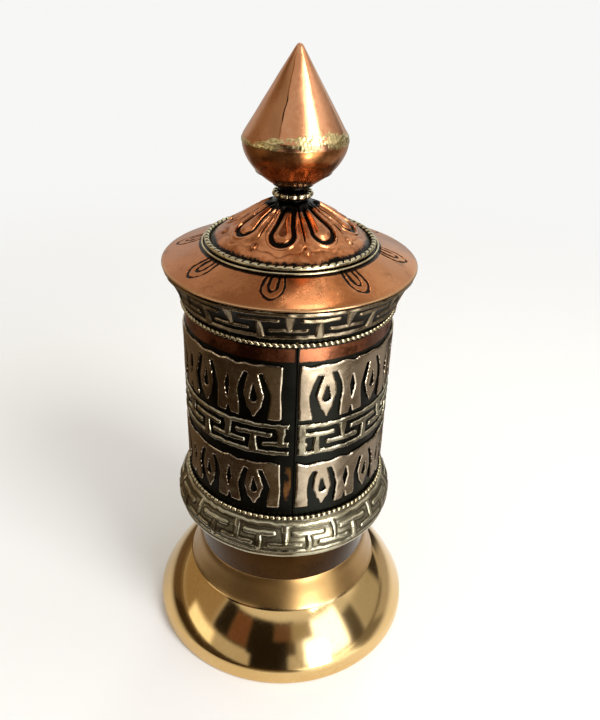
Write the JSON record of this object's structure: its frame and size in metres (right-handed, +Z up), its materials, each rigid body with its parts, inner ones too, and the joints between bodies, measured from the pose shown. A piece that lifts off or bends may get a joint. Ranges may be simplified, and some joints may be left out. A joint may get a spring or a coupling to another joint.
{
  "type": "prayer wheel",
  "caption": "Table-top prayer wheel: a copper drum with pierced white-metal ornament turns on a spindle over a flared brass foot, under a lift-off copper roof and finial.",
  "frame": {"origin": "centre of the foot's underside, on the surface it stands on", "axes": "+Z up along the spindle; -Y is the side with the drum's butt seam"},
  "size_m": [0.0748, 0.0748, 0.16],
  "materials": {
    "foot_brass": "polished",
    "neck_brass": "satin, heat darkened",
    "steel": "turned",
    "bush_brass": "turned",
    "drum_copper": "satin, with dark patina in the recesses",
    "inner_copper": "plain sheet",
    "white_metal": "satin, darkened in the recesses",
    "roof_copper": "satin, stained",
    "finial_copper": "polished by hand",
    "braze_brass": "rough braze",
    "black_metal": "blackened",
    "paper": "matte paper",
    "ribbon": "woven cotton tape"
  },
  "bodies": {
    "base": {"foot": "foot_brass", "neck_cup": "neck_brass", "spindle": "steel", "spindle_lower_washer": "steel", "spindle_lower_nut": "steel", "spindle_shoulder_nut": "steel", "thrust_washer": "bush_brass", "retaining_washer": "steel", "retaining_nut": "steel"},
    "drum": {"drum_shell": "drum_copper", "seam_strip": "inner_copper", "bottom_disc": "inner_copper", "lower_bush": "bush_brass", "upper_bush": "bush_brass", "core_tube": "inner_copper", "mantra_roll": "paper", "roll_tie": "ribbon", "lower_bead_ring": "white_metal", "lower_ornament": "white_metal", "middle_fret_band": "white_metal", "upper_ornament": "white_metal", "upper_bead_ring": "white_metal", "skirt": "white_metal", "cornice": "white_metal"},
    "lid": {"roof": "roof_copper", "lid_collar": "bush_brass", "roof_wire_ring": "white_metal", "roof_rope_ring": "white_metal", "crown": "roof_copper", "stem_washer": "steel", "stem_nut": "steel", "finial_stem": "steel", "neck_spacer": "black_metal", "neck_bead_ring": "white_metal", "finial_bowl": "finial_copper", "finial_cone": "finial_copper", "braze_band": "braze_brass"}
  },
  "joints": [
    {"name": "drum_spin", "type": "hinge", "parent": "base", "child": "drum", "pos_m": [0, 0, 0.07], "axis": [0, 0, 1], "continuous": true},
    {"name": "lid_lift", "type": "slide", "parent": "drum", "child": "lid", "axis": [0, 0, 1], "range_m": [0, 0.03]}
  ]
}
